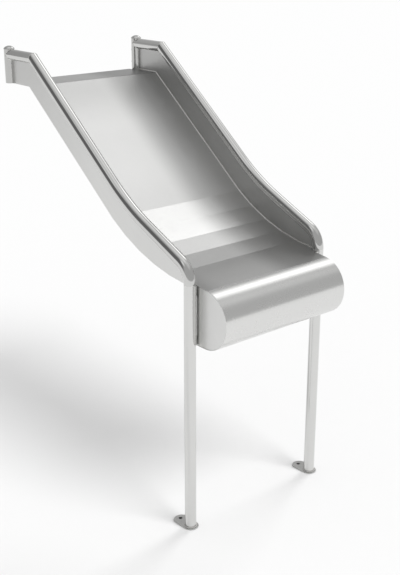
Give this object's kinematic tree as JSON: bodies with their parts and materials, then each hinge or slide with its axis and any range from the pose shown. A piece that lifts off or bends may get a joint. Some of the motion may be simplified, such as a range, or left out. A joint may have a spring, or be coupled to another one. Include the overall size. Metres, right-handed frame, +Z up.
{
  "type": "wave slide",
  "caption": "Freestanding-exit stainless steel wave slide: sheet chute between side plates and tube handrails, rolled exit nose, two tube legs with anchor feet.",
  "frame": {"origin": "midway between the two anchor holes of the foot plates, on the underside of the foot plates", "axes": "+Z up, +Y back to the platform, +X to the right of someone looking from the exit towards the platform; the exit faces -Y"},
  "size_m": [0.69, 1.3143, 1.6596],
  "materials": {
    "sheet": "brushed across the chute",
    "nose": "brushed along the roll",
    "tube": "satin ground tube",
    "cap": "polished",
    "foot": "mill",
    "weld": "ground weld",
    "fittings": "turned"
  },
  "bodies": {
    "root": {"bed_sheet": "sheet", "side_plate_left": "sheet", "side_plate_right": "sheet", "corner_bead_left": "weld", "corner_bead_right": "weld", "rail_elbow_left": "tube", "rail_elbow_right": "tube", "rail_left": "tube", "rail_right": "tube", "top_rail_left": "tube", "top_rail_right": "tube", "post_left": "tube", "post_right": "tube", "post_cap_left": "cap", "post_cap_right": "cap", "post_base_left": "fittings", "post_base_right": "fittings", "boss_pair_left": "fittings", "boss_pair_right": "fittings", "backing_ring_left": "fittings", "backing_ring_right": "fittings", "leg_left": "tube", "leg_right": "tube", "foot_plate_left": "foot", "foot_plate_right": "foot", "foot_fillet_left": "weld", "foot_fillet_right": "weld", "nose_shell": "nose", "nose_end_left": "nose", "nose_end_right": "nose", "nose_back": "nose", "nose_strip_left": "fittings", "nose_strip_right": "fittings", "rib_upper": "sheet", "rib_lower": "sheet"}
  },
  "joints": []
}
